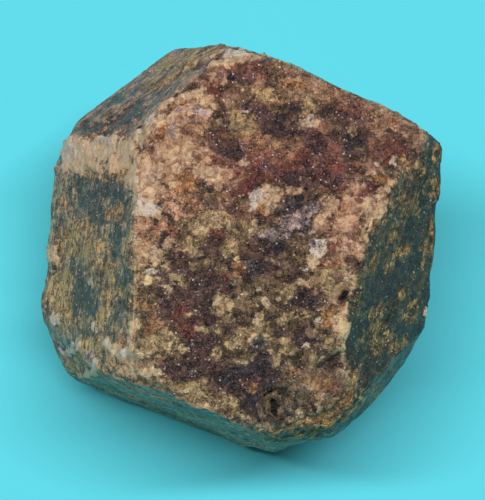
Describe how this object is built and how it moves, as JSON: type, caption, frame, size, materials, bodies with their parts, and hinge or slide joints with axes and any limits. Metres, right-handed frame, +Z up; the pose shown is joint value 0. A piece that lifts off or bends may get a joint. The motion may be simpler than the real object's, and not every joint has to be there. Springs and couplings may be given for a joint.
{
  "type": "garnet crystal",
  "caption": "Loose natural garnet crystal: a malformed rhombic dodecahedron with a flat granular top face, worn edges and pits, lying on a flat face.",
  "frame": {"origin": "on the ground, at the middle of the base of the crystal's bounding box", "axes": "+Z up, square to the face the crystal lies on; +X towards the dark green-grey east face, +Y towards the north side"},
  "size_m": [0.0252, 0.026, 0.02],
  "materials": {
    "garnet": "red-brown to purple-black garnet with a semi-gloss granular top, ochre and whitish grains, and dark green-grey side faces"
  },
  "bodies": {
    "root": {"garnet_crystal": "garnet"}
  },
  "joints": []
}
